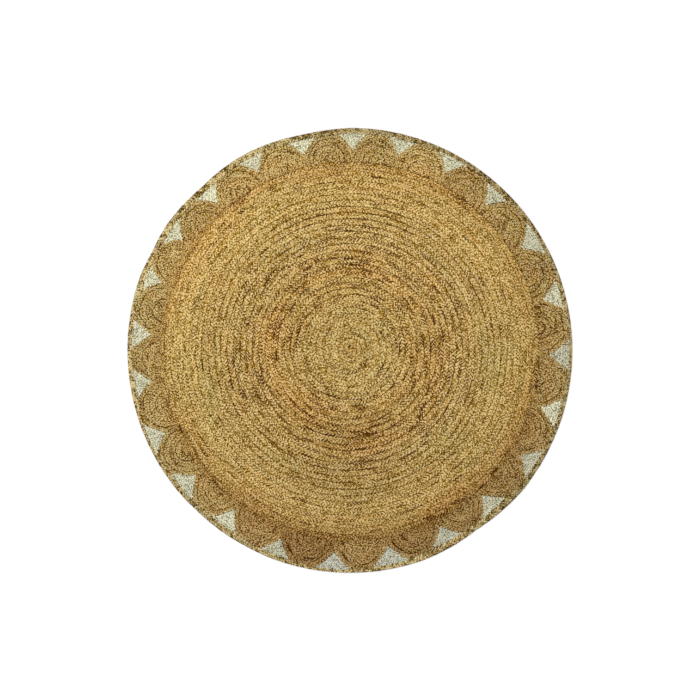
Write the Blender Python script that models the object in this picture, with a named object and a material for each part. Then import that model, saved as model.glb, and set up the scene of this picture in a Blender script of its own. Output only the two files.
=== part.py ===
"""Round rug of braided jute, lying flat.

One long braid is coiled into the middle disc. Twenty-four half-round petals of a thinner braid
stand round it, bleached inserts fill the gaps between them, and a last braid binds the edge.
Every piece has a flat underside at z = 0 and its braid rows raised on top. The origin is the
middle of the rug on the floor, and angles run anticlockwise from +X, seen from above.
"""

import math
from collections import namedtuple

import bmesh
import bpy
from mathutils import Vector

MM = 0.001

# Plan sizes, in metres
RUG_RADIUS = 0.600
DISC_RADIUS = 0.514
GAP = 0.4 * MM  # between two pieces that are stitched together
INSERT_BLUNT = 3 * MM  # from where two petals part to the blunt inner end of the insert
INSERT_HOLLOW = 0.16  # how hollow an insert's sides are, as a share of its outer width

# The disc's braid: its rounds, the faces in one round and where the coil starts
DISC_ROUNDS = 30
DISC_STEPS = 48
COIL_START = math.radians(-70)
COIL_OFFSET = Vector((-1.1 * MM, 4.6 * MM))  # the coil's start from the rug's middle
COIL_START_RISE = 0.3  # share of the full rise at the cut end of the braid
COIL_RISE_STEPS = 12

# Rows of braid in a petal and in an insert, and the faces along one side of a petal
PETAL_ROWS = 5
INSERT_ROWS = 4
SIDE_STEPS = 3

# Heights above the floor: in the dips between rows, along the top of a row and at an outer side
DISC_DIP, DISC_TOP, DISC_SIDE = 6.6 * MM, 9.0 * MM, 5.2 * MM
PETAL_DIP, PETAL_TOP = 5.6 * MM, 7.4 * MM
INSERT_DIP, INSERT_TOP = 5.2 * MM, 6.8 * MM

# The binding's top, across its width: share of the width from inside, and height
Profile = namedtuple("Profile", "across height")
BINDING_PROFILE = [
    Profile(0.00, 5.0 * MM),
    Profile(0.27, 8.4 * MM),
    Profile(0.50, 7.2 * MM),
    Profile(0.73, 8.4 * MM),
    Profile(1.00, 5.0 * MM),
]

# One row for each insert: the angle of its middle in degrees, and in millimetres how far from
# the rug's middle the two petals part, how wide the gap between them is at the binding, how wide
# the binding shows there, and how far the rug's edge dips there and over the petal that follows.
# The rug is hand made, so no two are quite alike.
Valley = namedtuple("Valley", "angle tip width binding dip petal_dip")
VALLEYS = [
    Valley(-1.4, 537, 90, 6.5, 0.0, 0.0),
    Valley(14.8, 537, 82, 12.7, 0.0, 0.0),
    Valley(30.8, 538, 100, 10.5, 0.0, 0.0),
    Valley(47.0, 535, 76, 16.0, 0.0, 0.0),
    Valley(61.7, 542, 82, 10.5, 0.0, 0.0),
    Valley(76.0, 540, 76, 16.0, 0.0, 0.0),
    Valley(89.3, 538, 77, 16.5, 0.0, 3.3),
    Valley(103.1, 540, 74, 15.3, 4.3, 1.5),
    Valley(117.2, 539, 72, 16.0, 0.0, 1.3),
    Valley(132.1, 533, 70, 16.2, 5.5, 2.9),
    Valley(146.4, 540, 82, 17.6, 1.0, 4.3),
    Valley(160.3, 538, 70, 16.0, 0.0, 0.0),
    Valley(175.6, 535, 83, 10.5, 0.0, 0.0),
    Valley(188.8, 540, 83, 12.7, 0.0, 0.0),
    Valley(204.0, 545, 92, 6.5, 0.0, 0.0),
    Valley(219.1, 534, 95, 13.0, 0.0, 1.8),
    Valley(234.2, 527, 79, 16.7, 0.8, 1.2),
    Valley(249.7, 541, 83, 12.3, 0.0, 0.0),
    Valley(265.6, 545, 95, 6.5, 0.0, 0.0),
    Valley(281.0, 538, 95, 12.0, 0.0, 0.0),
    Valley(297.1, 534, 88, 19.0, 3.0, 7.8),
    Valley(312.4, 527, 81, 19.0, 3.7, 0.2),
    Valley(328.4, 540, 90, 13.0, 0.5, 0.3),
    Valley(343.2, 537, 84, 12.0, 0.0, 0.0),
]

# Principled colours (linear) and roughness of each kind of piece
Finish = namedtuple("Finish", "colour roughness")
DISC_FINISH = Finish((0.48, 0.30, 0.10), 0.85)
PETAL_FINISH = Finish((0.36, 0.21, 0.07), 0.85)
INSERT_FINISH = Finish((0.66, 0.65, 0.55), 0.80)
BINDING_FINISH = Finish((0.40, 0.26, 0.08), 0.85)


def polar(radius, angle):
    """The point at a radius and an angle from the rug's middle, on the floor."""
    return Vector((radius * math.cos(angle), radius * math.sin(angle)))


def raised(point, height):
    """A flat point lifted to a height."""
    return Vector((point.x, point.y, height))


def angle_of(point):
    return math.atan2(point.y, point.x)


def valley_angle(index):
    """The angle of a valley, growing past a full turn, so that neighbours can be compared."""
    turns, row = divmod(index, len(VALLEYS))
    return math.radians(VALLEYS[row].angle + 360 * turns)


def edge_radius(index):
    """The rug's outer radius at a valley."""
    return RUG_RADIUS - VALLEYS[index % len(VALLEYS)].dip * MM


def petal_edge_radius(index):
    """The rug's outer radius over the petal that follows a valley."""
    return RUG_RADIUS - VALLEYS[index % len(VALLEYS)].petal_dip * MM


def bound_radius(index):
    """The binding's inner radius at a valley."""
    return edge_radius(index) - VALLEYS[index % len(VALLEYS)].binding * MM


def tip_radius(index):
    """How far from the rug's middle two petals part at a valley."""
    return VALLEYS[index % len(VALLEYS)].tip * MM


def opening(index, radius):
    """Half the angle between the two petals at a valley, at a radius of the rug."""
    share = (radius - tip_radius(index)) / (bound_radius(index) - tip_radius(index))
    width = VALLEYS[index % len(VALLEYS)].width * MM
    return width / 2 * (share - INSERT_HOLLOW * share * (1 - share)) / radius


class Petal:
    """The plan of one petal: the one that follows a valley, anticlockwise."""

    def __init__(self, index):
        self.index = index
        self.axis = (valley_angle(index) + valley_angle(index + 1)) / 2
        self.half = (valley_angle(index + 1) - valley_angle(index)) / 2
        self.middle = polar(DISC_RADIUS + GAP, self.axis)
        self.crown = (bound_radius(index) + bound_radius(index + 1)) / 2
        self.height = self.crown - DISC_RADIUS

    def row_point(self, outline_point, share):
        """A point on the way from the middle to a point of the outline. The rows are round
        near the middle, and take the outline's shape on their way out."""
        out = outline_point - self.middle
        reach = self.height + (out.length - self.height) * share**2
        return self.middle + out.normalized() * reach * share

    def half_outline(self, side):
        """The outline of one side, from the disc's edge out to the binding and up to the
        middle of the crown."""
        valley = self.index if side < 0 else self.index + 1
        tip, bound = tip_radius(valley), bound_radius(valley) - GAP
        clear = self.half - GAP / 2 / DISC_RADIUS
        points = [polar(DISC_RADIUS + GAP, self.axis + side * clear)]
        for step in range(SIDE_STEPS + 1):
            radius = tip + (bound - tip) * step / SIDE_STEPS
            turned = self.half - opening(valley, radius) - GAP / 2 / radius
            points.append(polar(radius, self.axis + side * turned))
        top = polar(self.crown - GAP, self.axis)
        points.append((points[-1] + top) / 2)
        return points, top


PETALS = [Petal(index) for index in range(len(VALLEYS))]


def new_material(name, finish):
    material = bpy.data.materials.new(name)
    material.use_nodes = True
    surface = material.node_tree.nodes["Principled BSDF"]
    surface.inputs["Base Color"].default_value = (*finish.colour, 1.0)
    surface.inputs["Roughness"].default_value = finish.roughness
    surface.inputs["Metallic"].default_value = 0.0
    return material


def add_face(bm, corners):
    """A face of the corners in turn, leaving out a corner that repeats the one before it."""
    kept = [c for place, c in enumerate(corners) if c is not corners[place - 1]]
    bm.faces.new(kept)


def drop_to_floor(bm):
    """Draws the rim of a piece's top straight down to the floor, and gives the lower rim."""
    rim = [edge for edge in bm.edges if edge.is_boundary]
    drawn = bmesh.ops.extrude_edge_only(bm, edges=rim)["geom"]
    for vertex in [item for item in drawn if isinstance(item, bmesh.types.BMVert)]:
        vertex.co.z = 0.0
    return [item for item in drawn if isinstance(item, bmesh.types.BMEdge) and item.is_boundary]


def add_piece(name, bm, material, collection):
    bmesh.ops.recalc_face_normals(bm, faces=bm.faces[:])
    mesh = bpy.data.meshes.new(name)
    bm.to_mesh(mesh)
    bm.free()
    mesh.materials.append(material)
    piece = bpy.data.objects.new(name, mesh)
    collection.objects.link(piece)
    return piece


def coil_dip(step):
    """A point between two rounds of the disc, counted in steps along the coil. The rounds grow
    clockwise, and they draw in to the rug's own middle on their way out."""
    pitch = DISC_RADIUS / DISC_ROUNDS
    radius = min(pitch * step / DISC_STEPS, DISC_RADIUS)
    offset = COIL_OFFSET * (1 - (radius / DISC_RADIUS) ** 2)
    return offset + polar(radius, COIL_START - 2 * math.pi * step / DISC_STEPS)


def coil_rise(step, width):
    """How much of the full rise the braid has: less at its cut start and where it narrows."""
    begun = COIL_START_RISE + (1 - COIL_START_RISE) * step / COIL_RISE_STEPS
    return min(1.0, begun, width * DISC_ROUNDS / DISC_RADIUS)


def make_disc(material, collection):
    """The coiled disc: a strip with a raised middle, wound so that each round shares its dips
    with the next. The last round narrows away into the round edge."""
    bm = bmesh.new()
    last = DISC_ROUNDS * DISC_STEPS
    dips = []
    for step in range(last + DISC_STEPS):
        height = DISC_DIP if step < last else DISC_SIDE
        dips.append(bm.verts.new(raised(coil_dip(step), height)))
    dips.append(dips[last])
    tops = []
    for step in range(last):
        inner, outer = coil_dip(step), coil_dip(step + DISC_STEPS)
        rise = coil_rise(step, (outer - inner).length)
        height = DISC_DIP + (DISC_TOP - DISC_DIP) * rise
        tops.append(bm.verts.new(raised((inner + outer) / 2, height)))
    tops.append(dips[last])
    for step in range(last):
        beyond = step + DISC_STEPS
        add_face(bm, (dips[step], dips[step + 1], tops[step + 1], tops[step]))
        add_face(bm, (tops[step], tops[step + 1], dips[beyond + 1], dips[beyond]))
    for step in range(1, DISC_STEPS):
        add_face(bm, (dips[0], dips[step], dips[step + 1]))
    add_face(bm, (dips[0], dips[DISC_STEPS], tops[0]))
    bmesh.ops.edgeloop_fill(bm, edges=drop_to_floor(bm))
    add_piece("disc", bm, material, collection)


def make_petal(petal, name, material, collection):
    """A petal: half-round rows round a middle that lies at the disc's edge."""
    right, top = petal.half_outline(-1)
    left, _ = petal.half_outline(1)
    outline = right + [top] + left[::-1]
    feet = (0, len(outline) - 1)
    bm = bmesh.new()
    middle = bm.verts.new(raised(petal.middle, PETAL_DIP))
    inner = [middle] * len(outline)
    lines = 2 * PETAL_ROWS
    for line in range(1, lines + 1):
        share = line / lines
        height = PETAL_TOP if line % 2 else PETAL_DIP
        outer = []
        for place, point in enumerate(outline):
            if place in feet:
                turned = petal.axis + angle_between(petal.axis, point) * share
                spot = polar(DISC_RADIUS + GAP, turned)
            else:
                spot = petal.row_point(point, share)
            outer.append(bm.verts.new(raised(spot, height)))
        for place in range(len(outline) - 1):
            add_face(bm, (inner[place], inner[place + 1], outer[place + 1], outer[place]))
        inner = outer
    bmesh.ops.edgeloop_fill(bm, edges=drop_to_floor(bm))
    add_piece(name, bm, material, collection)


def angle_between(axis, point):
    """The angle from an axis to a point, seen from the rug's middle."""
    return math.remainder(angle_of(point) - axis, 2 * math.pi)


def make_insert(index, name, material, collection):
    """A bleached insert: short rows across the gap between two petals, from its tip out to the
    binding."""
    start, end = tip_radius(index) + INSERT_BLUNT, bound_radius(index) - GAP
    bm = bmesh.new()
    lines = 2 * INSERT_ROWS
    inner = None
    for line in range(lines + 1):
        radius = start + (end - start) * line / lines
        height = INSERT_TOP if line % 2 else INSERT_DIP
        turned = opening(index, radius) - GAP / 2 / radius
        outer = []
        for side in (-1, 0, 1):
            spot = polar(radius, valley_angle(index) + side * turned)
            outer.append(bm.verts.new(raised(spot, height)))
        for place in range(len(outer) - 1):
            if inner:
                add_face(bm, (inner[place], inner[place + 1], outer[place + 1], outer[place]))
        inner = outer
    bmesh.ops.edgeloop_fill(bm, edges=drop_to_floor(bm))
    add_piece(name, bm, material, collection)


def binding_stations():
    """Angle, inner radius and outer radius of the binding, at each corner of its plan: three
    over an insert, and one over the petal that follows it."""
    for index, petal in enumerate(PETALS):
        bound, edge, angle = bound_radius(index), edge_radius(index), valley_angle(index)
        before, after = petal_edge_radius(index - 1), petal_edge_radius(index)
        turned = opening(index, bound)
        yield angle - turned, bound, (before + edge) / 2
        yield angle, bound, edge
        yield angle + turned, bound, (edge + after) / 2
        yield petal.axis, petal.crown, after


def make_binding(material, collection):
    """The braid round the edge, with its two columns of stitches as two low ridges."""
    bm = bmesh.new()
    sections = []
    for angle, inner, outer in binding_stations():
        section = []
        for across, height in BINDING_PROFILE:
            spot = polar(inner + (outer - inner) * across, angle)
            section.append(bm.verts.new(raised(spot, height)))
        sections.append(section)
    for index, section in enumerate(sections):
        before = sections[index - 1]
        for place in range(len(section) - 1):
            add_face(bm, (before[place], before[place + 1], section[place + 1], section[place]))
    bmesh.ops.bridge_loops(bm, edges=drop_to_floor(bm))
    add_piece("binding", bm, material, collection)


def main():
    for item in list(bpy.data.objects):
        bpy.data.objects.remove(item)
    rug = bpy.data.collections.new("round_jute_rug")
    bpy.context.scene.collection.children.link(rug)
    make_disc(new_material("jute_disc", DISC_FINISH), rug)
    petal_jute = new_material("jute_petal", PETAL_FINISH)
    bleached = new_material("jute_bleached", INSERT_FINISH)
    for index, petal in enumerate(PETALS):
        make_petal(petal, f"petal_{index + 1:02}", petal_jute, rug)
        make_insert(index, f"insert_{index + 1:02}", bleached, rug)
    make_binding(new_material("jute_binding", BINDING_FINISH), rug)


main()
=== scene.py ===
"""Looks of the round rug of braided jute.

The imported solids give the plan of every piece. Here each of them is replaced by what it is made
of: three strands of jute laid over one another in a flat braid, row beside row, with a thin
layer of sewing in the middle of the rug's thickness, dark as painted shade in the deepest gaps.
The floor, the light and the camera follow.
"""

import math
from collections import namedtuple

import bmesh
import bpy
import numpy as np
from mathutils import Matrix


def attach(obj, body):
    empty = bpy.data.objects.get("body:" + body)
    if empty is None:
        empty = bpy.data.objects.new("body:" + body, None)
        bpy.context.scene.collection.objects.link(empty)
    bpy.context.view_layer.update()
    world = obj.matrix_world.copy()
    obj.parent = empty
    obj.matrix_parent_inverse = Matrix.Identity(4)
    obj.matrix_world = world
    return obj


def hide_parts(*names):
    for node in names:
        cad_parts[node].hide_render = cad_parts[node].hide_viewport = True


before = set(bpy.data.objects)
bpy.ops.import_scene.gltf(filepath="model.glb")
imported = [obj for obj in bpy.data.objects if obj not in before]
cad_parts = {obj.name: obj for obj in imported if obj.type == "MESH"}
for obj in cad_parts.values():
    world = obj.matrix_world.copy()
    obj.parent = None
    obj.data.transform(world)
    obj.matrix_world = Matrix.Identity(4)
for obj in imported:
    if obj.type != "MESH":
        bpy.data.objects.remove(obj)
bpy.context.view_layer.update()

MM = 0.001
TURN = 2 * math.pi

RUG_RADIUS = 0.600
DISC_RADIUS = 0.514
DISC_ROUNDS = 30
COIL_START = math.radians(-70)  # where the disc's braid ends at its edge
COIL_OFFSET = np.array((-1.1 * MM, 4.6 * MM))  # how far off the middle its first round lies
COIL_TURNS = (-0.45, DISC_ROUNDS - 0.18)  # from and to which round the braid's middle runs
COIL_STEPS = 12000
PETAL_ROWS = 5
PETAL_STEPS = 91
INSERT_ROWS = 4
INSERT_LEAST = 0.22  # how narrow an insert's rows get at their ends, as a share of their width
INSERT_BLUNT = 1.5 * MM  # how far out from where the petals part an insert's rows begin
INSERT_HOLLOW = 0.16  # how far an insert's sides curve in, as a share of its width
PETAL_LAP = 3.6 * MM  # how far the petals' outer strands reach over their outline
PETAL_TUCK = 6 * MM  # how far the petals' outer rows reach in under the binding
PETAL_FOOT = 8.5 * MM  # how far their rows reach in under the disc's edge
INSERT_TUCK = 3.2 * MM  # how far an insert's rows reach in under the petals and the binding
BINDING_LAP = 1.6 * MM  # how far the binding's strands reach in over the petals and inserts
BINDING_OUT = 0.7 * MM  # how far they bulge out past the rug's outline
BINDING_START = math.radians(78.5)  # where its two ends meet
BINDING_STEPS = 3600
CORNER = 12  # how many of its steps a corner is rounded off over, to each side

# One row for each insert: the angle of its middle in degrees, and in millimetres how far from
# the rug's middle the two petals part, how wide the gap between them is at the binding, how wide
# the binding shows there, and how far the rug's edge dips there and over the petal that follows
Valley = namedtuple("Valley", "angle tip width binding dip petal_dip")
VALLEYS = [
    Valley(-1.4, 537, 90, 6.5, 0.0, 0.0),
    Valley(14.8, 537, 82, 12.7, 0.0, 0.0),
    Valley(30.8, 538, 100, 10.5, 0.0, 0.0),
    Valley(47.0, 535, 76, 16.0, 0.0, 0.0),
    Valley(61.7, 542, 82, 10.5, 0.0, 0.0),
    Valley(76.0, 540, 76, 16.0, 0.0, 0.0),
    Valley(89.3, 538, 77, 16.5, 0.0, 3.3),
    Valley(103.1, 540, 74, 15.3, 4.3, 1.5),
    Valley(117.2, 539, 72, 16.0, 0.0, 1.3),
    Valley(132.1, 533, 70, 16.2, 5.5, 2.9),
    Valley(146.4, 540, 82, 17.6, 1.0, 4.3),
    Valley(160.3, 538, 70, 16.0, 0.0, 0.0),
    Valley(175.6, 535, 83, 10.5, 0.0, 0.0),
    Valley(188.8, 540, 83, 12.7, 0.0, 0.0),
    Valley(204.0, 545, 92, 6.5, 0.0, 0.0),
    Valley(219.1, 534, 95, 13.0, 0.0, 1.8),
    Valley(234.2, 527, 79, 16.7, 0.8, 1.2),
    Valley(249.7, 541, 83, 12.3, 0.0, 0.0),
    Valley(265.6, 545, 95, 6.5, 0.0, 0.0),
    Valley(281.0, 538, 95, 12.0, 0.0, 0.0),
    Valley(297.1, 534, 88, 19.0, 3.0, 7.8),
    Valley(312.4, 527, 81, 19.0, 3.7, 0.2),
    Valley(328.4, 540, 90, 13.0, 0.5, 0.3),
    Valley(343.2, 537, 84, 12.0, 0.0, 0.0),
]
COUNT = len(VALLEYS)

# How loosely the disc's rounds lie against one another, by rounds from the middle
DISC_LOOSE = [
    (0, 0.0), (3, 0.1), (5, 0.5), (8, 0.85), (10, 0.7), (13, 0.6), (15, 0.75), (19, 0.8),
    (21, 1.0), (23, 0.7), (25, 0.35), (27, 0.2), (30, 0.1),
]

# Half the thickness of each braid
DISC_TALL, PETAL_TALL, INSERT_TALL, BINDING_TALL = 4.5 * MM, 3.7 * MM, 3.4 * MM, 4.2 * MM
BACKING_THICK = 1.6 * MM

# A flat braid of three strands: how far each swings to the sides and rises, how wide and how
# thick it is, and how far it runs before it comes back to the same side, which is its lay. All
# of them are shares of the braid's half width or half thickness.
PLIES = 3
SWING, RISE = 0.77, 0.51
STRAND_WIDE, STRAND_THICK = 0.45, 0.48
LAY = 3.36
STRAND_SIDES = 6
REACH = SWING + STRAND_WIDE  # how far out the strands come
TUCKED_END = 0.3  # how many lays it takes a row's end to go down into the rug
END_THICK = 0.45  # how thick a strand is at its row's end, as a share


def polar(radius, angle):
    """Flat points at some radii and angles about the rug's middle."""
    return np.stack((radius * np.cos(angle), radius * np.sin(angle)), axis=-1)


# --- Nodes ---------------------------------------------------------------------------------


class Wire:
    """What a node gives, so that arithmetic on numbers adds the Math nodes for it."""

    def __init__(self, bench, socket):
        self.bench = bench
        self.socket = socket

    def math(self, operation, *parts):
        feeds = dict(enumerate(parts))
        return self.bench.add("ShaderNodeMath", {"operation": operation}, feeds)

    def __add__(self, other):
        return self.math("ADD", self, other)

    def __radd__(self, other):
        return self.math("ADD", other, self)

    def __sub__(self, other):
        return self.math("SUBTRACT", self, other)

    def __rsub__(self, other):
        return self.math("SUBTRACT", other, self)

    def __mul__(self, other):
        return self.math("MULTIPLY", self, other)

    def __rmul__(self, other):
        return self.math("MULTIPLY", other, self)

    def __truediv__(self, other):
        return self.math("DIVIDE", self, other)

    def also(self, place):
        """Another socket of the same node."""
        return Wire(self.bench, self.bench.find(self.socket.node.outputs, place))

    def sine(self):
        return self.math("SINE", self)

    def floor(self):
        return self.math("FLOOR", self)

    def distance(self, spot):
        """How far the number is from a spot."""
        return self.math("ABSOLUTE", self - spot)

    def ease(self, low, high, start=0.0, end=1.0):
        """Runs smoothly from start to end as the number goes from low to high."""
        settings = {"interpolation_type": "SMOOTHSTEP"}
        feeds = {"Value": self, "From Min": low, "From Max": high, "To Min": start, "To Max": end}
        return self.bench.add("ShaderNodeMapRange", settings, feeds)

    def held(self):
        return self.bench.add("ShaderNodeClamp", {}, {"Value": self})


class Bench:
    """Adds nodes to a tree, each by its type, its settings, and what its sockets get."""

    def __init__(self, tree):
        self.tree = tree

    @staticmethod
    def find(sockets, place):
        if isinstance(place, int):
            return sockets[place]
        exact = [socket for socket in sockets if socket.identifier == place]
        return (exact or [socket for socket in sockets if socket.name == place])[0]

    def add(self, kind, settings=None, feeds=None, take=0):
        node = self.tree.nodes.new(kind)
        for name, value in (settings or {}).items():
            if name == "stops":
                self.set_stops(node.color_ramp, value)
            else:
                setattr(node, name, value)
        for place, value in (feeds or {}).items():
            socket = self.find(node.inputs, place)
            if isinstance(value, Wire):
                self.tree.links.new(value.socket, socket)
            else:
                socket.default_value = value
        return Wire(self, self.find(node.outputs, take)) if node.outputs else node

    @staticmethod
    def set_stops(ramp, stops):
        while len(ramp.elements) < len(stops):
            ramp.elements.new(1.0)
        for element, (place, colour) in zip(ramp.elements, stops):
            element.position = place
            element.color = (*colour, 1.0)

    def mark(self, name, kind="Fac"):
        """A named number or vector that the braids carry."""
        return self.add("ShaderNodeAttribute", {"attribute_name": name}, take=kind)

    def split(self, vector):
        x = self.add("ShaderNodeSeparateXYZ", {}, {0: vector})
        return x, x.also(1), x.also(2)

    def join(self, x, y, z=0.0):
        return self.add("ShaderNodeCombineXYZ", {}, {0: x, 1: y, 2: z})

    def noise(self, vector, scale, detail=2.0, rough=0.5, kind="3D"):
        feeds = {"Vector": vector, "Scale": scale, "Detail": detail, "Roughness": rough}
        return self.add("ShaderNodeTexNoise", {"noise_dimensions": kind}, feeds)

    def blend(self, factor, first, second, way="MIX"):
        """A colour between two, each of them plain or from a node."""
        feeds = {"Factor_Float": factor, "A_Color": opaque(first), "B_Color": opaque(second)}
        settings = {"data_type": "RGBA", "blend_type": way}
        return self.add("ShaderNodeMix", settings, feeds, take="Result_Color")


def opaque(colour):
    return colour if isinstance(colour, Wire) else (*colour, 1.0)


# --- Rows of braid -------------------------------------------------------------------------

# One row of braid: the plan of its middle line, half its width, half its thickness, how pale and
# how red its jute is (how grey, where it is bleached), how much painted shade lies along its
# sides where it meets the next row, and as shares of its half width how far its strands are drawn
# in and how much its edges are lifted
Row = namedtuple("Row", "plan half tall pale red dirt drawn lift")


def row_of(plan, half, tall, pale, red=0.0, dirt=0.0, drawn=0.0, lift=0.14):
    """A row whose values are given for each of its points or, as one number, for all."""
    spread = np.ones(len(plan))
    values = (half, tall, pale, red, dirt, drawn, lift)
    return Row(np.asarray(plan), *(value * spread for value in values))


def measured(row, start):
    """The way across a row at each of its points, and its lays counted from a start."""
    steps = np.hypot(*np.diff(row.plan, axis=0).T)
    ahead = np.gradient(row.plan, axis=0)
    ahead /= np.hypot(*ahead.T)[:, None]
    across = np.stack((-ahead[:, 1], ahead[:, 0]), axis=1)
    pace = 1 / (LAY * row.half)
    turns = np.concatenate(([0], np.cumsum(steps * (pace[1:] + pace[:-1]) / 2)))
    return across, turns + start


def rail(name, part, ply, chance):
    """A mesh of open lines on which one strand of each of the part's rows is drawn."""
    spots, links, first = [], [], 0
    marks = {mark: [] for mark in ("across", *Row._fields[1:], "turns", "row", "end")}
    for number, row in enumerate(part.rows):
        across, turns = measured(row, chance.uniform(0, 1))
        own = turns + ply / PLIES
        nearest, furthest = math.ceil(own[0] * part.stations), math.floor(own[-1] * part.stations)
        at = np.arange(nearest, furthest + 1) / part.stations
        if len(at) < 3:
            continue
        x, y = (np.interp(at, own, row.plan[:, side]) for side in (0, 1))
        side_x, side_y = (np.interp(at, own, across[:, side]) for side in (0, 1))
        spots.append(np.stack((x, y, 0 * x), axis=1))
        marks["across"].append(np.stack((side_x, side_y, 0 * x), axis=1))
        for mark in Row._fields[1:]:
            marks[mark].append(np.interp(at, own, getattr(row, mark)))
        marks["end"].append(np.clip(np.minimum(at - own[0], own[-1] - at) / TUCKED_END, 0, 1))
        marks["turns"].append(at)
        marks["row"].append(np.full(len(at), float(number)))
        order = np.arange(first, first + len(at))
        links.append(np.stack((order[:-1], order[1:]), axis=1))
        first += len(at)
    mesh = bpy.data.meshes.new(name)
    mesh.from_pydata(np.concatenate(spots).tolist(), np.concatenate(links).tolist(), [])
    for mark, parts in marks.items():
        values = np.concatenate(parts)
        kind = "FLOAT_VECTOR" if values.ndim == 2 else "FLOAT"
        slot = "vector" if values.ndim == 2 else "value"
        layer = mesh.attributes.new(mark, kind, "POINT")
        layer.data.foreach_set(slot, values.astype(np.float32).ravel())
    return mesh


def strand_tree():
    """Geometry nodes that lay one strand of a braid along its rail."""
    tree = bpy.data.node_groups.new("laid_strand", "GeometryNodeTree")
    tree.interface.new_socket("Rail", in_out="INPUT", socket_type="NodeSocketGeometry")
    for name in ("Wander", "Unevenness", "Thin spots", "Ply"):
        tree.interface.new_socket(name, in_out="INPUT", socket_type="NodeSocketFloat")
    tree.interface.new_socket("Sides", in_out="INPUT", socket_type="NodeSocketInt")
    tree.interface.new_socket("Seed", in_out="INPUT", socket_type="NodeSocketInt")
    tree.interface.new_socket("Material", in_out="INPUT", socket_type="NodeSocketMaterial")
    tree.interface.new_socket("Strand", in_out="OUTPUT", socket_type="NodeSocketGeometry")
    bench = Bench(tree)
    entry = bench.add("NodeGroupInput", take="Rail")

    def carried(name, kind="FLOAT"):
        return bench.add("GeometryNodeInputNamedAttribute", {"data_type": kind}, {"Name": name})

    def scaled(vector, by):
        feeds = {0: vector, "Scale": by}
        return bench.add("ShaderNodeVectorMath", {"operation": "SCALE"}, feeds)

    def summed(*vectors):
        feeds = dict(enumerate(vectors))
        return bench.add("ShaderNodeVectorMath", {"operation": "ADD"}, feeds)

    across = carried("across", "FLOAT_VECTOR")
    half, tall, turns, row = (carried(name) for name in ("half", "tall", "turns", "row"))
    drawn, lift, end = (carried(name) for name in ("drawn", "lift", "end"))
    place = bench.add("GeometryNodeInputPosition")

    # Where the strand goes: from side to side once in a lay, and up and down twice
    angle = turns * TURN
    side = angle.sine() * half * (SWING - drawn)
    up = ((angle * 2).sine() * RISE - (angle * 2 + TURN / 4).sine() * lift) * half

    # What the hand does to it: the whole row wanders, and each strand is a little loose
    drift = bench.noise(place, 14.0, 1.0)
    own_place = bench.join(turns * 1.35, row * 3.7 + entry.also("Ply") * 11.3)
    loose = bench.noise(own_place, 1.0, 2.0, 0.6, "2D")
    lifted = bench.noise(own_place, 1.6, 1.0, 0.5, "2D")
    side = side + (drift - 0.5) * entry.also("Wander") * 2
    side = side + (loose - 0.5) * entry.also("Unevenness") * half
    up = up + (lifted - 0.5) * entry.also("Unevenness") * half * 0.4
    up = up * end
    offset = summed(scaled(across, side), bench.join(0.0, 0.0, up))
    moved = bench.add("GeometryNodeSetPosition", {}, {"Geometry": entry, "Offset": offset})

    # How thick it is, stitch by stitch
    place_wide = bench.join(turns * 2.1 + 40.0, row * 5.1 + entry.also("Ply") * 7.9)
    uneven = bench.noise(place_wide, 1.0, 1.0, 0.5, "2D")
    hole = bench.noise(place_wide, 0.55, 0.0, 0.5, "2D").ease(0.70, 0.80)
    thick = 1 + (uneven - 0.5) * entry.also("Unevenness") * 1.6 - hole * entry.also("Thin spots")
    thick = thick * (END_THICK + end * (1 - END_THICK))

    # One number for each stitch that shows, by which the finish varies
    stitch = (turns * 2 + 0.12).floor() + row * 977
    feeds = {"Min_001": 0.0, "Max_001": 1.0, "ID": stitch, "Seed": entry.also("Seed")}
    chance = bench.add("FunctionNodeRandomValue", {"data_type": "FLOAT"}, feeds, take="Value_001")
    marked = bench.add(
        "GeometryNodeStoreNamedAttribute",
        {"data_type": "FLOAT", "domain": "POINT"},
        {"Geometry": moved, "Name": "stitch", "Value": chance},
    )

    line = bench.add("GeometryNodeMeshToCurve", {}, {"Mesh": marked})
    level = bench.add("GeometryNodeSetCurveNormal", {"mode": "Z_UP"}, {"Curve": line})
    ring = bench.add("GeometryNodeCurvePrimitiveCircle", {}, {"Resolution": entry.also("Sides")})
    ring_place = bench.add("GeometryNodeInputPosition")
    section = bench.add(
        "GeometryNodeStoreNamedAttribute",
        {"data_type": "FLOAT_VECTOR", "domain": "POINT"},
        {"Geometry": ring, "Name": "section", "Value": ring_place},
    )
    flat = (STRAND_WIDE, STRAND_THICK, 1.0)
    profile = bench.add("GeometryNodeTransform", {}, {"Geometry": section, "Scale": flat})
    feeds = {"Curve": level, "Profile Curve": profile, "Scale": half * thick, "Fill Caps": True}
    tube = bench.add("GeometryNodeCurveToMesh", {}, feeds)

    # The braid was drawn as thick as it is wide. It is pressed to its own thickness here.
    x, y, z = bench.split(place)
    feeds = {"Geometry": tube, "Position": bench.join(x, y, tall * (1 + z / half))}
    pressed = bench.add("GeometryNodeSetPosition", {}, feeds)
    smooth = bench.add("GeometryNodeSetShadeSmooth", {}, {"Geometry": pressed})
    real = bench.add("GeometryNodeRealizeInstances", {}, {"Geometry": smooth})
    feeds = {"Geometry": real, "Material": entry.also("Material")}
    done = bench.add("GeometryNodeSetMaterial", {}, feeds)
    bench.add("NodeGroupOutput", {}, {"Strand": done})
    return tree


def add_piece(name, mesh):
    piece = bpy.data.objects.new(name, mesh)
    bpy.context.scene.collection.objects.link(piece)
    return piece


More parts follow.
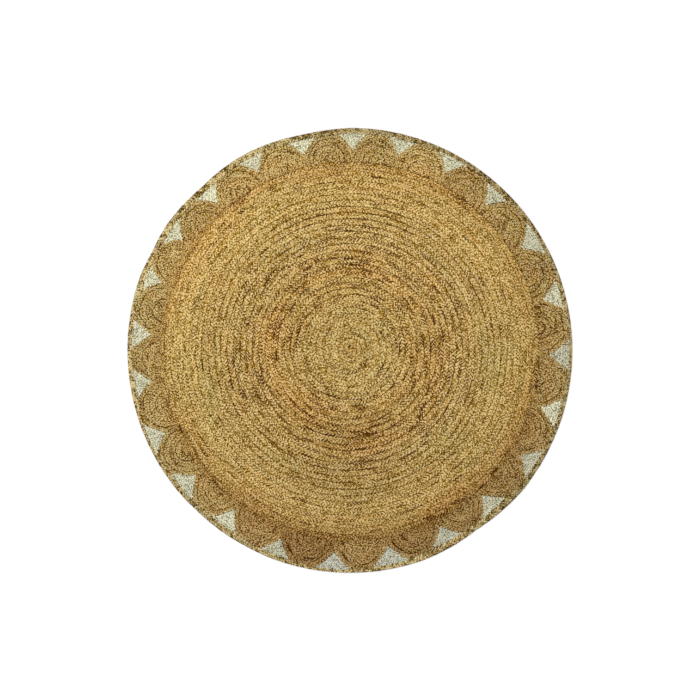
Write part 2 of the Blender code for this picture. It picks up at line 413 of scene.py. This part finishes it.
def grown(piece, tree, values):
    """The piece as its tree makes it, with the result as its own plain mesh."""
    modifier = piece.modifiers.new("laid", "NODES")
    modifier.node_group = tree
    for item in tree.interface.items_tree:
        if item.in_out == "INPUT" and item.name in values:
            modifier[item.identifier] = values[item.name]
    ready = piece.evaluated_get(bpy.context.evaluated_depsgraph_get())
    mesh = bpy.data.meshes.new_from_object(ready)
    piece.modifiers.clear()
    piece.data = mesh
    return piece


def lay_out(mesh):
    """A bake map on which every face of the strands has a small cell of its own. Each step along
    a strand is a column of cells, one for each side, with room for an end cap on top."""
    sides = STRAND_SIDES
    vertex = np.empty(len(mesh.loops), dtype=np.int64)
    mesh.loops.foreach_get("vertex_index", vertex)
    starts = np.empty(len(mesh.polygons), dtype=np.int64)
    mesh.polygons.foreach_get("loop_start", starts)
    sizes = np.diff(np.append(starts, len(vertex)))
    face = np.repeat(np.arange(len(starts)), sizes)
    ring, side = vertex // sides, vertex % sides
    first = np.minimum.reduceat(ring, starts)[face]
    wide = (np.maximum.reduceat(side, starts) - np.minimum.reduceat(side, starts))[face]
    around = np.where((wide == sides - 1) & (side == 0), sides, side).astype(float)
    along = (ring - first).astype(float)
    cap = (sizes != 4)[face]
    turn = side / sides * TURN
    along[cap] = 0.5 + 0.35 * np.cos(turn[cap])
    around[cap] = sides + 0.9 + 0.35 * np.sin(turn[cap])
    high = sides + 1.8
    columns = math.ceil(math.sqrt((ring.max() + 1) * high * 0.8))
    rows = (ring.max() + 1) // columns + 1
    u = (first % columns + along) / columns
    v = ((first // columns) * high + around + 0.2) / (rows * high)
    layer = mesh.uv_layers.new(name="OFBake")
    layer.data.foreach_set("uv", np.stack((u, v), axis=1).astype(np.float32).ravel())


def braided(part, seed):
    """The three strands of a part's rows of braid, each a piece of its own."""
    strands = []
    for ply in range(PLIES):
        mesh = rail(f"{part.name}_{ply + 1}", part, ply, np.random.default_rng(seed))
        piece = add_piece(f"{part.name}_strand_{ply + 1}", mesh)
        values = {
            "Wander": part.wander,
            "Unevenness": part.uneven,
            "Thin spots": part.thin,
            "Ply": float(ply),
            "Sides": STRAND_SIDES,
            "Seed": seed + ply,
            "Material": part.finish,
        }
        grown(piece, STRAND_TREE, values)
        lay_out(piece.data)
        strands.append(piece)
    return strands


# --- The plan of the rows ------------------------------------------------------------------


def coil_dip(turns):
    """Points between two rounds of the disc, counted in rounds along the coil."""
    radius = np.clip(DISC_RADIUS / DISC_ROUNDS * turns, 0, DISC_RADIUS)
    draw = 1 - (radius / DISC_RADIUS) ** 2
    return COIL_OFFSET * draw[:, None] + polar(radius, COIL_START - TURN * turns)


def disc_rows():
    turns = np.linspace(*COIL_TURNS, COIL_STEPS)
    inner, outer = coil_dip(turns), coil_dip(turns + 1)
    half = np.hypot(*(outer - inner).T) / 2
    full = DISC_RADIUS / DISC_ROUNDS / 2
    tall = DISC_TALL * np.minimum(1.0, (half / full) ** 0.5)
    rounds, looseness = np.array(DISC_LOOSE).T
    loose = np.interp(turns, rounds, looseness)
    wave, slit = slack(inner, 7)
    # Painted shade in the creases between rounds, heavier where they lie loosely and in the slits
    dirt = 0.02 + loose * (0.42 * wave**1.5 + 0.35 * slit)
    drawn = loose * (0.04 * wave + 0.10 * slit)
    lift = 0.12 - 0.16 * loose * wave
    pale, red = lots(inner, 21), lots(inner, 22)
    return [row_of((inner + outer) / 2, half, tall, pale, red, dirt, drawn, lift)]


def up_and_down(plan, chance, step, power=1):
    """A value from 0 to 1 that changes along a row by chance, with a step from one value to the
    next. A higher power makes the highs rarer."""
    length = np.concatenate(([0], np.cumsum(np.hypot(*np.diff(plan, axis=0).T))))
    values = chance.uniform(0, 1, int(length[-1] / step) + 2)
    return np.interp(length, np.linspace(0, length[-1], len(values)), values**power)


def lots(plan, seed):
    """How the jute changes along a row, as one lot of it after another is braided in."""
    return up_and_down(plan, np.random.default_rng(seed), 160 * MM)


def slack(plan, seed):
    """How loosely a row lies against the next: in broad waves, and in a few short slits."""
    chance = np.random.default_rng(seed)
    wave = up_and_down(plan, chance, 110 * MM)
    return wave, up_and_down(plan, chance, 22 * MM, 6)


def valley_angle(index):
    turns, row = divmod(index, COUNT)
    return math.radians(VALLEYS[row].angle + 360 * turns)


def edge_radius(index):
    """The rug's outer radius at a valley."""
    return RUG_RADIUS - VALLEYS[index % COUNT].dip * MM


def petal_edge_radius(index):
    """The rug's outer radius over the petal that follows a valley."""
    return RUG_RADIUS - VALLEYS[index % COUNT].petal_dip * MM


def bound_radius(index):
    """The binding's inner radius at a valley."""
    return edge_radius(index) - VALLEYS[index % COUNT].binding * MM


def tip_radius(index):
    """How far from the rug's middle two petals part at a valley."""
    return VALLEYS[index % COUNT].tip * MM


def opening(index, radius):
    """Half the angle between the two petals at a valley, at a radius of the rug."""
    share = (radius - tip_radius(index)) / (bound_radius(index) - tip_radius(index))
    share = np.maximum(share, 0)
    width = VALLEYS[index % COUNT].width * MM
    return width / 2 * (share - INSERT_HOLLOW * share * (1 - share)) / radius


class Petal:
    """The plan of one petal: the one that follows a valley, anticlockwise."""

    def __init__(self, index):
        self.index = index
        self.axis = (valley_angle(index) + valley_angle(index + 1)) / 2
        self.half = (valley_angle(index + 1) - valley_angle(index)) / 2
        self.middle = polar(DISC_RADIUS, self.axis)
        self.crown = (bound_radius(index) + bound_radius(index + 1)) / 2

    def side_line(self, side):
        """One side, from under the disc's edge past the insert's tip to under the binding."""
        valley = self.index if side < 0 else self.index + 1
        radii = np.linspace(DISC_RADIUS - 6 * MM, bound_radius(valley) + PETAL_TUCK, 80)
        turned = self.half - opening(valley, radii) + PETAL_LAP / radii
        return polar(radii, self.axis + side * turned)

    def outline(self):
        """Even bearings from the petal's middle, and how far out its outline is on them."""
        right, left = self.side_line(-1), self.side_line(1)[::-1]
        across = np.linspace(0, 1, 40)[1:-1, None]
        crown = right[-1] * (1 - across) + left[0] * across
        bound = np.hypot(*right[-1]) * (1 - across) + np.hypot(*left[0]) * across
        crown *= bound / np.hypot(*crown.T)[:, None]
        off = np.concatenate((right, crown, left)) - self.middle
        ahead = np.array((math.cos(self.axis), math.sin(self.axis)))
        aside = np.array((-ahead[1], ahead[0]))
        bearing = np.arctan2(off @ aside, off @ ahead)
        even = np.linspace(-math.pi / 2, math.pi / 2, PETAL_STEPS)
        reach = np.interp(even, bearing, np.hypot(*off.T))
        out = np.cos(even)[:, None] * ahead + np.sin(even)[:, None] * aside
        return out, softened(reach, 5)


def softened(values, width):
    """The values with their corners rounded off, over a number of them to each side."""
    padded = np.pad(values, width, mode="edge")
    kernel = np.hanning(2 * width + 3)[1:-1]
    return np.convolve(padded, kernel / kernel.sum(), mode="valid")


PETALS = [Petal(index) for index in range(COUNT)]

# How pale and how red the jute of each petal is, from the first one anticlockwise. The paleness
# is partly painted light: paler towards the top and upper left of the rug, darker at the bottom.
PETAL_PALE = (
    0.5, 0.5, 0.55, 0.55, 0.95, 0.75, 0.75, 1.0, 1.0, 0.85, 1.0, 0.8,
    0.7, 0.7, 0.6, 0.6, 0.35, 0.0, 0.3, 0.1, 0.15, 0.2, 0.35, 0.45,
)
PETAL_RED = (
    0.15, 0.15, 0.2, 0.3, 0.1, 0.0, 0.1, 0.0, 0.1, 0.25, 0.1, 0.0,
    0.1, 0.15, 0.1, 0.2, 0.65, 1.0, 0.5, 0.7, 0.5, 0.45, 0.5, 0.15,
)


def petal_rows():
    """Half-round rows, each from under the disc's edge round the petal's middle and back."""
    rows = []
    for petal, pale, red in zip(PETALS, PETAL_PALE, PETAL_RED):
        out, reach = petal.outline()
        height = reach[PETAL_STEPS // 2]
        size = PETAL_ROWS / (PETAL_ROWS + (REACH - 1) / 2)
        shares = np.linspace(0, 1, 2 * PETAL_ROWS + 1)
        lines = [size * share * (height + (reach - height) * share**2) for share in shares]
        for row in range(PETAL_ROWS):
            inner, outer = lines[2 * row], lines[2 * row + 2]
            arc = petal.middle + out * ((inner + outer) / 2)[:, None]
            half = (outer - inner) / 2
            right, left = foot(arc[0]), foot(arc[-1])[::-1]
            plan = np.concatenate((right, arc, left))
            half = np.concatenate((half[0] + 0 * right[:, 0], half, half[-1] + 0 * left[:, 0]))
            hidden = np.clip((np.hypot(*plan.T) - petal.crown + 4 * MM) / (7 * MM), 0, 1)
            tall = PETAL_TALL * (1 - 0.45 * hidden)  # pressed down under the binding
            wave, slit = slack(plan, 60 + petal.index * PETAL_ROWS + row)
            # Painted shade along the rows' sides, heaviest on the outermost row, next to the
            # inserts and binding
            seam_shade_base = 0.32 if row == PETAL_ROWS - 1 else 0.05
            dirt, drawn = seam_shade_base + 0.13 * wave + 0.25 * slit, 0.12 * slit
            rows.append(row_of(plan, half, tall, pale, red, dirt, drawn, 0.10))
    return rows


def foot(spot):
    """The way from under the disc's edge out to a spot where a row begins."""
    far = np.hypot(*spot)
    radii = np.linspace(DISC_RADIUS - PETAL_FOOT, far, 6)[:-1]
    return spot / far * radii[:, None]


# How pale and how grey the bleached jute of each insert is, from the first one anticlockwise
INSERT_PALE = (
    0.05, 0.5, 0.3, 0.4, 0.5, 0.55, 0.6, 0.95, 0.65, 1.0, 0.75, 0.7,
    0.6, 0.55, 0.45, 0.4, 0.5, 0.15, 0.05, 0.05, 0.0, 0.15, 0.1, 0.6,
)
INSERT_GREY = (
    0.3, 0.1, 0.1, 0.0, 0.1, 0.0, 0.0, 0.0, 0.0, 0.0, 0.0, 0.0,
    0.1, 0.1, 0.3, 0.3, 0.3, 0.3, 1.0, 1.0, 0.6, 0.3, 0.3, 0.1,
)


def insert_rows():
    """Short rows across the gap between two petals, side by side out to the binding. Each one
    narrows at its ends, where it runs against the petals' sides."""
    rows = []
    for index in range(COUNT):
        start, end = tip_radius(index) + INSERT_BLUNT, bound_radius(index) + INSERT_TUCK
        width = (end - start) / INSERT_ROWS
        radii = np.linspace(start - INSERT_BLUNT, end + INSERT_TUCK, 200)
        turned = opening(index, radii)
        for row in range(INSERT_ROWS):
            outer = start + width * (row + 1)
            angles = np.linspace(-turned[-1], turned[-1], 400)
            sides = np.interp(np.abs(angles), turned, radii)
            inner = np.maximum(outer - width, sides - INSERT_TUCK)
            kept = outer - inner > INSERT_LEAST * width
            middle, half = (outer + inner[kept]) / 2, (outer - inner[kept]) / 2
            plan = polar(middle, valley_angle(index) + angles[kept])
            pale = INSERT_PALE[index] + 0.5 * np.linspace(-1, 1, len(plan)) ** 4
            rows.append(row_of(plan, half, INSERT_TALL, pale, INSERT_GREY[index]))
    return rows


def binding_line(angles):
    """The binding's inner and outer radius at some angles."""
    stations = []
    for index, petal in enumerate(PETALS):
        bound, edge, angle = bound_radius(index), edge_radius(index), valley_angle(index)
        before, after = petal_edge_radius(index - 1), petal_edge_radius(index)
        turned = opening(index, bound)
        stations.append((angle - turned, bound, (before + edge) / 2))
        stations.append((angle, bound, edge))
        stations.append((angle + turned, bound, (edge + after) / 2))
        stations.append((petal.axis, petal.crown, after))
    angle, inner, outer = np.array(stations).T
    return (
        softened(np.interp(angles, angle, inner, period=TURN), CORNER),
        softened(np.interp(angles, angle, outer, period=TURN), CORNER),
    )


# How pale the binding is, at some angles in degrees
BINDING_PALE = [
    (0, 0.4), (15, 0.3), (45, 0.0), (75, 0.2), (90, 0.15), (105, 0.5), (120, 0.7), (135, 0.9),
    (150, 0.8), (165, 0.85), (190, 1.0), (210, 0.7), (225, 0.15), (240, 0.35), (265, 0.7),
    (300, 0.45), (315, 0.0), (330, 0.0),
]


def binding_row():
    angles = BINDING_START + np.linspace(0.0, TURN, BINDING_STEPS)
    inner, outer = binding_line(angles)
    inner, outer = inner - BINDING_LAP, outer + BINDING_OUT
    half = (outer - inner) / 2 / REACH
    places, pale = np.array(BINDING_PALE).T
    pale = np.interp(np.degrees(angles), places, pale, period=360)
    plan = polar((inner + outer) / 2, angles)
    _, slit = slack(plan, 8)
    # Painted shade along the binding's sides, heavier in its slits
    return [row_of(plan, half, BINDING_TALL, pale, dirt=0.36 + 0.4 * slit, drawn=0.1 * slit)]


# --- The layer between the two faces -------------------------------------------------------


def backing(name, nodes, finish, tall):
    """A thin layer with the plan of some solids, where the rows are sewn together."""
    bm = bmesh.new()
    for node in nodes:
        bm.from_mesh(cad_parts[node].data)
    bmesh.ops.remove_doubles(bm, verts=bm.verts[:], dist=1e-6)
    top = max(vertex.co.z for vertex in bm.verts)
    for vertex in bm.verts:
        vertex.co.z = tall + (vertex.co.z / top - 0.5) * BACKING_THICK
    mesh = bpy.data.meshes.new(name)
    bm.to_mesh(mesh)
    bm.free()
    mesh.materials.append(finish)
    return add_piece(name, mesh)


# --- Finishes ------------------------------------------------------------------------------


def strand_marks(bench):
    """What every strand shows: its long fibres, paler and darker streaks along it, a number for
    where bits of bark may be, a tone for each stitch, how far a spot is round from the strand's
    sides to its top or underside, by which its sides get painted shade, and the painted shade on
    it which lies along the sides of the row, where it meets the next one."""
    flat = {0: bench.mark("section", "Vector")}
    round_section = bench.add("ShaderNodeVectorMath", {"operation": "NORMALIZE"}, flat)
    aside, up, _ = bench.split(round_section)
    turns, row = bench.mark("turns"), bench.mark("row")
    fibre = bench.noise(bench.join(turns * 3.2 + row * 1.7, aside * 9.0, up * 9.0), 1.0, 3.0, 0.6)
    streak = bench.noise(bench.join(turns * 4.0 + row * 5.3, aside * 1.7, up * 1.7), 1.0, 0.0)
    bark = bench.noise(bench.join(turns * 3.3 + row * 2.3, aside, up), 1.0, 0.0)
    across = (turns * TURN).sine() * SWING - aside * STRAND_WIDE
    # Painted shade along the sides of the row, where it lies against the next one
    dirt = across.distance(0.0).ease(0.50, 1.15) * bench.mark("dirt")
    return fibre, streak, bark, bench.mark("stitch"), up.distance(0.0), dirt


def end_finish(bench, colour, rough, fibres):
    """Ends a material with its shader, its roughness and its raised fibres."""
    feeds = {"Strength": 0.7, "Distance": FIBRES_RAISED, "Height": fibres}
    bump = bench.add("ShaderNodeBump", {}, feeds)
    feeds = {
        "Base Color": colour,
        "Roughness": rough,
        "Normal": bump,
        "Specular IOR Level": 0.0,
    }
    shader = bench.add("ShaderNodeBsdfPrincipled", {}, feeds)
    bench.add("ShaderNodeOutputMaterial", {}, {"Surface": shader})


def new_bench(name):
    material = bpy.data.materials.new(name)
    material.use_nodes = True
    material.node_tree.nodes.clear()
    return material, Bench(material.node_tree)


# Jute from its darkest, painted shade deep in its gaps, to its palest fibres
SHADES = ((0.143, 0.049, 0.0), (0.291, 0.155, 0.0), (0.527, 0.347, 0.072), (0.858, 0.675, 0.325))
BLEACHED = ((0.197, 0.183, 0.094), (0.393, 0.371, 0.219), (0.635, 0.608, 0.407),
            (0.894, 0.867, 0.635))
OLIVE = ((0.08, 0.047, 0.005), (0.25, 0.159, 0.027), (0.536, 0.38, 0.116), (0.894, 0.724, 0.367))
BARK = (0.05, 0.009, 0.0)
GRAIN = 2.9  # how much the loose fibres on the strands differ in tone
FIBRES_RAISED = 0.25 * MM


def even_bark(share):
    """The same share of bark bits everywhere."""
    return lambda _bench, _place: share


def disc_bark_and_hole_shade(bench, place):
    """Bits of bark lie in clusters, closest together part of the way out and in a few spots. Along
    the disc's edge the dark bits are painted shade, for the holes where the petals' rows meet it."""
    far = middle_distance(bench, place)
    # The band at the disc's edge is painted shade in the holes at the petals' feet
    zone = far.ease(0.06, 0.16) * (1 - far.ease(0.30, 0.37)) + far.ease(0.492, 0.507) * 1.45
    cluster = swirl(bench, place, 3.0, 30.0, 5.0).ease(0.40, 0.62)
    share = (zone * 0.88 + 0.68) * (0.75 + 0.4 * cluster)
    for x, y, reach in BARK_SPOTS:
        share = share + soft_patch(x, y, reach, 0.2, RED)(bench, place)[0]
    return share


def jute(name, shades, tall, tints, bark_share, patchy=0.2, depth_shade=0.09):
    """Strands of jute, paler or deeper by fibre and, by how patchy they are, from one stitch to
    the next, and darker in the gaps between rows by painted shade. The depth shade is how much
    darker they are at their sides and low down, which is painted shade too. Tints are further
    layers, each a function that gives a share and a colour to multiply by."""
    material, bench = new_bench(name)
    place = bench.add("ShaderNodeTexCoord", take="Object")
    _, _, z = bench.split(place)
    fibre, streak, bark, stitch, crown, dirt = strand_marks(bench)
    # Painted shade: darker on the strands' sides and low down, near the middle of the rug's
    # thickness
    top = crown.ease(0.15, 0.95)
    face = z.distance(tall).ease(0.25 * tall, 0.85 * tall)
    grain = bench.noise(place, 310.0, 0.0)
    tone = 0.84 + (fibre - 0.5) * 0.2 + (stitch - 0.5) * patchy + (streak - 0.5)
    tone = tone + (grain - 0.5) * GRAIN
    tone = tone - ((1 - top) + (1 - face)) * depth_shade - dirt
    stops = list(zip((0.0, 0.35, 0.7, 1.0), shades))
    colour = bench.add("ShaderNodeValToRGB", {"stops": stops}, {"Fac": tone.held()})
    for tint in tints:
        share, by = tint(bench, place)
        colour = bench.blend(share, colour, bench.blend(1.0, colour, by, "MULTIPLY"))
    flecked = (bark + bark_share(bench, place) * 0.10).ease(0.76, 0.79) * 0.95
    colour = bench.blend(flecked, colour, BARK)
    end_finish(bench, colour, fibre.ease(0.2, 0.8, 0.8, 0.97), fibre)
    return material


def middle_distance(bench, place):
    """How far a spot is from the rug's middle, seen from above."""
    x, y, _ = bench.split(place)
    flat = {0: bench.join(x, y)}
    return bench.add("ShaderNodeVectorMath", {"operation": "LENGTH"}, flat, "Value")


def swirl(bench, place, around, outwards, shift):
    """Noise drawn out along the rounds, by how often it changes around and outwards."""
    x, y, _ = bench.split(place)
    bearing = bench.add("ShaderNodeVectorMath", {"operation": "NORMALIZE"}, {0: bench.join(x, y)})
    east, north, _ = bench.split(bearing)
    far = middle_distance(bench, place)
    return bench.noise(bench.join(east * around, north * around, far * outwards + shift), 1.0, 2.0)


def own_lot(start, spread, furthest):
    """How pale the row's own jute is, and how near it comes to the reddest or greyest colour."""

    def tint(bench, _place):
        red = bench.blend(bench.mark("red"), (1.0, 1.0, 1.0), furthest)
        pale = bench.mark("pale") * spread + start
        return 1.0, bench.blend(1.0, red, bench.join(pale, pale, pale), "MULTIPLY")

    return tint


def radius_tints(stops, ragged=0.02, widest=RUG_RADIUS):
    """A colour to multiply by that changes with the distance from the rug's middle."""

    def tint(bench, place):
        far = middle_distance(bench, place) + (bench.noise(place, 30.0, 2.0) - 0.5) * ragged
        settings = {"stops": [(radius / widest, colour) for radius, colour in stops]}
        feeds = {"Fac": (far / widest).held()}
        return 1.0, bench.add("ShaderNodeValToRGB", settings, feeds)

    return tint


def painted_light_slope(angle, amount):
    """Painted light: one side of the rug paler and the other darker, as if lit from that side."""

    def tint(bench, place):
        x, y, _ = bench.split(place)
        along = x * math.cos(math.radians(angle)) + y * math.sin(math.radians(angle))
        level = 1.0 + along * (amount / RUG_RADIUS)
        return 1.0, bench.join(level, level, level)

    return tint


def arcs(shift, amount, colour, around=2.4, outwards=34.0):
    """Lots of fibre of another colour, in soft arcs along the rounds."""

    def tint(bench, place):
        return swirl(bench, place, around, outwards, shift).ease(0.48, 0.66) * amount, colour

    return tint


def painted_side_light(angle, inner, outer, amount, colour):
    """Painted light and shade on one side of the rug: a colour to multiply by, darker for shade
    and paler for light, which comes on from one distance off the middle to another.
    """

    def tint(bench, place):
        x, y, _ = bench.split(place)
        far = middle_distance(bench, place)
        along = x * math.cos(math.radians(angle)) + y * math.sin(math.radians(angle))
        return (along / far).ease(0.0, 0.95) * far.ease(inner, outer) * amount, colour

    return tint


def soft_patch(x, y, reach, amount, colour):
    """One soft patch with a ragged edge, its place and reach in millimetres: a stain, a paler
    patch or painted shade, by its colour.
    """

    def tint(bench, place):
        middle = {0: place, 1: (x * MM, y * MM, 0.0)}
        far = bench.add("ShaderNodeVectorMath", {"operation": "DISTANCE"}, middle, "Value")
        ragged = far * (1 / (reach * MM)) + (swirl(bench, place, 4.0, 40.0, x) - 0.5) * 1.6
        return (1 - ragged.ease(0.35, 1.15)) * amount, colour

    return tint


RED, STRAW, BOTTOM_SHADE = (1.03, 0.955, 0.92), (0.96, 1.0, 1.0), (0.90, 0.88, 0.87)
SUN, SIDE_SHADE = (1.08, 1.08, 1.05), (0.80, 0.76, 0.74)
REDDEST = (1.08, 0.92, 0.90)
GREYEST = (0.98, 0.99, 1.12)
# Stains, straw-coloured lots and paler patches on the disc, with painted shade and painted light:
# a darker patch over the bottom, and darker and paler bands on some sides near the edge
DISC_STAINS_AND_SHADING = [
    soft_patch(-94, -148, 85, 0.5, RED), soft_patch(54, -270, 90, 0.5, RED),
    soft_patch(216, -68, 80, 0.5, RED), soft_patch(-190, 40, 70, 0.5, RED),
    soft_patch(41, 225, 60, 0.5, RED), soft_patch(-280, -400, 90, 0.6, RED),
    # The darker patch over the bottom of the disc is painted shade
    soft_patch(300, -400, 130, 0.7, RED), soft_patch(10, -285, 190, 1.0, BOTTOM_SHADE),
    # Paler patches on the upper left and left of the disc
    soft_patch(-370, 250, 210, 0.6, SUN), soft_patch(-400, -20, 140, 0.5, SUN),
    soft_patch(425, 0, 120, 1.0, STRAW), soft_patch(-430, -80, 120, 1.0, STRAW),
    # Painted shade over the bottom of the outer rounds and on a band at the upper right, and
    # painted light that pales the dark line at the disc's edge at the top and on the left
    soft_patch(300, -310, 110, 1.0, STRAW), painted_side_light(280, 0.42, 0.51, 0.8, SIDE_SHADE),
    painted_side_light(60, 0.462, 0.484, 0.8, (0.88, 0.86, 0.83)),
    painted_side_light(70, 0.492, 0.504, 1.0, (1.22, 1.26, 1.32)),
    painted_side_light(180, 0.484, 0.496, 1.0, (1.10, 1.12, 1.17)),
]
# Where bits of bark lie closest: place and reach in millimetres
BARK_SPOTS = [(-94, -148, 70), (54, -270, 70), (216, -68, 60), (-190, 40, 55), (41, 225, 50)]

# The lots of jute in the disc, and the darker, browner line at the petals' feet, which is
# painted shade where the disc's edge meets the petals: each a distance from the rug's middle in
# metres, and a colour to multiply by
DISC_LOTS_AND_EDGE_SHADE = [
    (0.00, (0.76, 0.73, 0.65)), (0.03, (0.74, 0.72, 0.66)), (0.055, (0.75, 0.76, 0.73)),
    (0.108, (0.79, 0.79, 0.76)), (0.165, (0.83, 0.79, 0.73)), (0.22, (0.82, 0.76, 0.69)),
    (0.27, (0.82, 0.79, 0.76)), (0.32, (0.81, 0.80, 0.79)), (0.38, (0.78, 0.76, 0.73)),
    (0.43, (0.83, 0.82, 0.78)), (0.475, (0.82, 0.775, 0.70)), (0.488, (0.82, 0.765, 0.69)),
    (0.496, (0.74, 0.68, 0.585)), (0.505, (0.68, 0.60, 0.49)), (0.52, (0.68, 0.60, 0.49)),
]
# The same for the first rounds: the middle is another lot, and the paler and darker rings further
# out are painted highlights and painted shade along the rounds
FIRST_ROUNDS_AND_RING_LIGHT = [
    (0.0, (0.99, 0.95, 0.90)), (0.009, (0.94, 0.90, 0.86)), (0.0165, (0.83, 0.80, 0.76)),
    (0.0200, (0.70, 0.67, 0.62)),
    (0.0235, (1.20, 1.20, 1.20)), (0.028, (1.16, 1.16, 1.16)), (0.0325, (0.70, 0.68, 0.64)),
    (0.0370, (1.16, 1.16, 1.16)), (0.044, (1.0, 1.0, 1.0)),
]
# Painted shade on the petals' feet next to the disc's edge, then the petals further out, in metres
PETAL_FEET_SHADE = [
    (0.510, (0.84, 0.78, 0.70)), (0.543, (1.0, 1.0, 1.0)), (0.560, (0.92, 0.93, 0.95)),
]


def sewing_shade_layer(name, colour):
    """The sewing in the middle of the rug's thickness, seen only in its deepest gaps, where its
    dark colour is painted shade.
    """
    material, bench = new_bench(name)
    place = bench.add("ShaderNodeTexCoord", take="Object")
    fuzz = bench.noise(place, 900.0, 3.0)
    paler = tuple(channel * 2.2 for channel in colour)
    end_finish(bench, bench.blend(fuzz, colour, paler), fuzz.ease(0.3, 0.7, 0.85, 0.98), fuzz)
    return material


# --- Making it -----------------------------------------------------------------------------

STRAND_TREE = strand_tree()

DISC_TINTS = [
    radius_tints(DISC_LOTS_AND_EDGE_SHADE), radius_tints(FIRST_ROUNDS_AND_RING_LIGHT, 0.004, 0.06), painted_light_slope(110, 0.12),
    own_lot(0.94, 0.12, RED), arcs(0.0, 0.3, RED), arcs(9.0, 0.6, STRAW), *DISC_STAINS_AND_SHADING,
]
PETAL_TINTS = [
    # Painted shade on the petals' feet by the disc's edge, and painted light that pales them at
    # the top
    own_lot(0.48, 0.38, REDDEST), radius_tints(PETAL_FEET_SHADE),
    painted_side_light(80, 0.540, 0.514, 1.0, (1.14, 1.16, 1.20)), arcs(23.0, 1.0, RED, 9.0),
]
INSERT_TINTS = [own_lot(0.66, 0.34, GREYEST)]
BINDING_TINTS = [own_lot(0.515, 0.34, REDDEST), arcs(31.0, 1.0, RED, 9.0)]

disc_jute = jute("disc_braid", SHADES, DISC_TALL, DISC_TINTS, disc_bark_and_hole_shade)
petal_jute = jute("petal_braid", SHADES, PETAL_TALL, PETAL_TINTS, even_bark(1.2), patchy=0.1)
bleached_jute = jute("bleached_braid", BLEACHED, INSERT_TALL, INSERT_TINTS, even_bark(0.0),
                     depth_shade=0.15)
binding_jute = jute("binding_braid", OLIVE, BINDING_TALL, BINDING_TINTS, even_bark(0.9),
                    patchy=1.1)
# Dark sewing layers, whose colour is painted shade deep in the gaps
sewing = sewing_shade_layer("sewing", (0.045, 0.022, 0.005))
pale_sewing = sewing_shade_layer("pale_sewing", (0.30, 0.28, 0.17))

petal_nodes = [f"petal_{index + 1:02}" for index in range(COUNT)]
insert_nodes = [f"insert_{index + 1:02}" for index in range(COUNT)]

# The flat size is that of the round disc, of all the petals or all the inserts side by side, and
# of the binding's strip as long as the rug's edge. Stations are the steps in one lay of a strand.
# The last three say how far the rows wander, and how uneven and how thin in spots strands are.
Part = namedtuple("Part", "name nodes rows tall finish slot flat stations wander uneven thin")
FIRST_SEED = 100
PARTS = [
    Part("disc", ["disc"], disc_rows(), DISC_TALL, disc_jute, "disc_jute",
         flat=(1.028, 1.028), stations=9, wander=0.6 * MM, uneven=0.34, thin=0.35),
    Part("petals", petal_nodes, petal_rows(), PETAL_TALL, petal_jute, "petal_jute",
         flat=(3.23, 0.077), stations=8, wander=0.4 * MM, uneven=0.32, thin=0.3),
    Part("inserts", insert_nodes, insert_rows(), INSERT_TALL, bleached_jute, "bleached_jute",
         flat=(2.03, 0.055), stations=8, wander=0.2 * MM, uneven=0.2, thin=0.2),
    Part("binding", ["binding"], binding_row(), BINDING_TALL, binding_jute, "binding_jute",
         flat=(3.73, 0.019), stations=10, wander=0.3 * MM, uneven=0.32, thin=0.2),
]

for number, part in enumerate(PARTS):
    sewn = pale_sewing if part.name == "inserts" else sewing
    layer = backing(f"{part.name}_backing", part.nodes, sewn, part.tall)
    strands = braided(part, FIRST_SEED + number * 10)
    for piece in [layer, *strands]:
        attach(piece, "root")
    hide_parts(*part.nodes)

# --- Floor, light and camera ---------------------------------------------------------------


FLOOR_LEVEL = -0.3 * MM
FLOOR_RADIUS = 12.0
SKY_STRENGTH = 0.76
SUN_STRENGTH = 1.475


def floor_finish():
    material, bench = new_bench("pale_floor")
    feeds = {"Base Color": (0.97, 0.97, 0.97, 1.0), "Roughness": 0.9}
    shader = bench.add("ShaderNodeBsdfPrincipled", {}, feeds)
    bench.add("ShaderNodeOutputMaterial", {}, {"Surface": shader})
    return material


def lay_floor():
    bm = bmesh.new()
    level = Matrix.Translation((0.0, 0.0, FLOOR_LEVEL))
    bmesh.ops.create_circle(bm, cap_ends=True, radius=FLOOR_RADIUS, segments=96, matrix=level)
    mesh = bpy.data.meshes.new("floor")
    bm.to_mesh(mesh)
    bm.free()
    mesh.materials.append(floor_finish())
    add_piece("floor", mesh)


def light_room():
    world = bpy.data.worlds.new("studio")
    bpy.context.scene.world = world
    world.use_nodes = True
    sky = world.node_tree.nodes["Background"]
    sky.inputs["Color"].default_value = (1.0, 1.0, 1.0, 1.0)
    sky.inputs["Strength"].default_value = SKY_STRENGTH
    data = bpy.data.lights.new("key", "SUN")
    data.energy = SUN_STRENGTH
    data.angle = math.radians(30)
    key = bpy.data.objects.new("key", data)
    key.rotation_euler = (math.radians(-20), math.radians(-15), 0.0)
    bpy.context.scene.collection.objects.link(key)


PICTURE_WIDE = 700 * 2.698 * MM  # how wide a stretch it shows at the braid's level
BRAID_LEVEL = 6 * MM
CAMERA_HIGH = 4.5
PICTURE_MIDDLE = (0.27 * MM, 0.54 * MM)


def place_camera():
    data = bpy.data.cameras.new("camera")
    data.sensor_width = 36.0
    data.lens = data.sensor_width * (CAMERA_HIGH - BRAID_LEVEL) / PICTURE_WIDE
    data.clip_end = 60.0
    camera = bpy.data.objects.new("camera", data)
    camera.location = (*PICTURE_MIDDLE, CAMERA_HIGH)
    bpy.context.scene.collection.objects.link(camera)
    bpy.context.scene.camera = camera


lay_floor()
light_room()
place_camera()
bpy.context.scene.view_settings.view_transform = "Standard"
